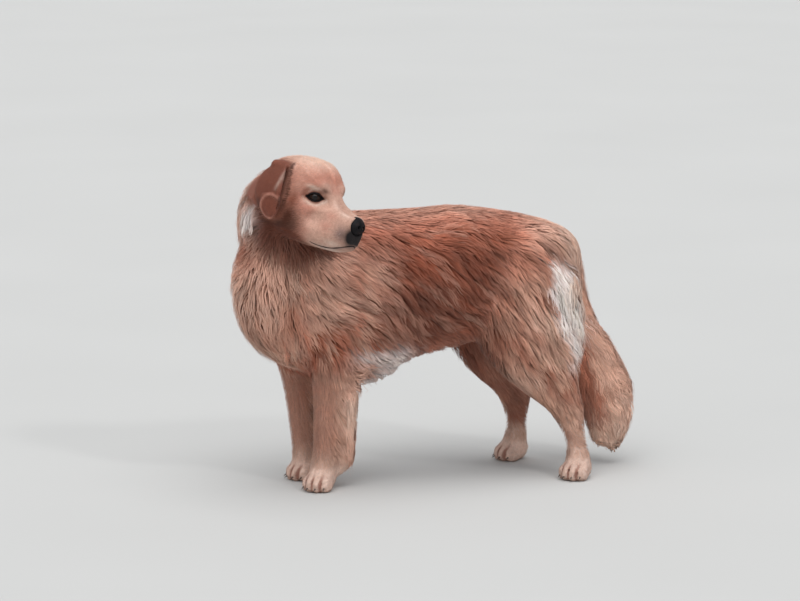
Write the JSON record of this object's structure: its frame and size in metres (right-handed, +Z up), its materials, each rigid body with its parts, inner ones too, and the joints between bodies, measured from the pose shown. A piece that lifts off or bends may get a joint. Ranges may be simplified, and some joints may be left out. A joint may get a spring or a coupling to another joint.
{
  "type": "golden retriever",
  "caption": "Life-size long-coated retriever dog standing on all fours, head turned back over its left shoulder, tail hanging.",
  "frame": {"origin": "on the floor, under the middle of the dog's box", "axes": "+X towards the chest, +Y towards the dog's left side, +Z up"},
  "size_m": [0.9464, 0.4128, 0.75],
  "materials": {
    "coat": "long wavy copper-gold hair",
    "ear": "short soft copper-brown hair",
    "paw": "short cream hair",
    "nose": "moist black leather of the nose, lips and eyelid rims",
    "eye": "wet dark brown"
  },
  "bodies": {
    "root": {"head": "coat", "lower_jaw": "coat", "neck": "coat", "trunk": "coat", "tail": "coat", "ear_left": "ear", "ear_right": "ear", "foreleg_left": "coat", "foreleg_right": "coat", "hindleg_left": "coat", "hindleg_right": "coat", "forepaw_left": "paw", "forepaw_right": "paw", "hindpaw_left": "paw", "hindpaw_right": "paw", "nose": "nose", "eye_left": "eye", "eye_right": "eye"}
  },
  "joints": []
}
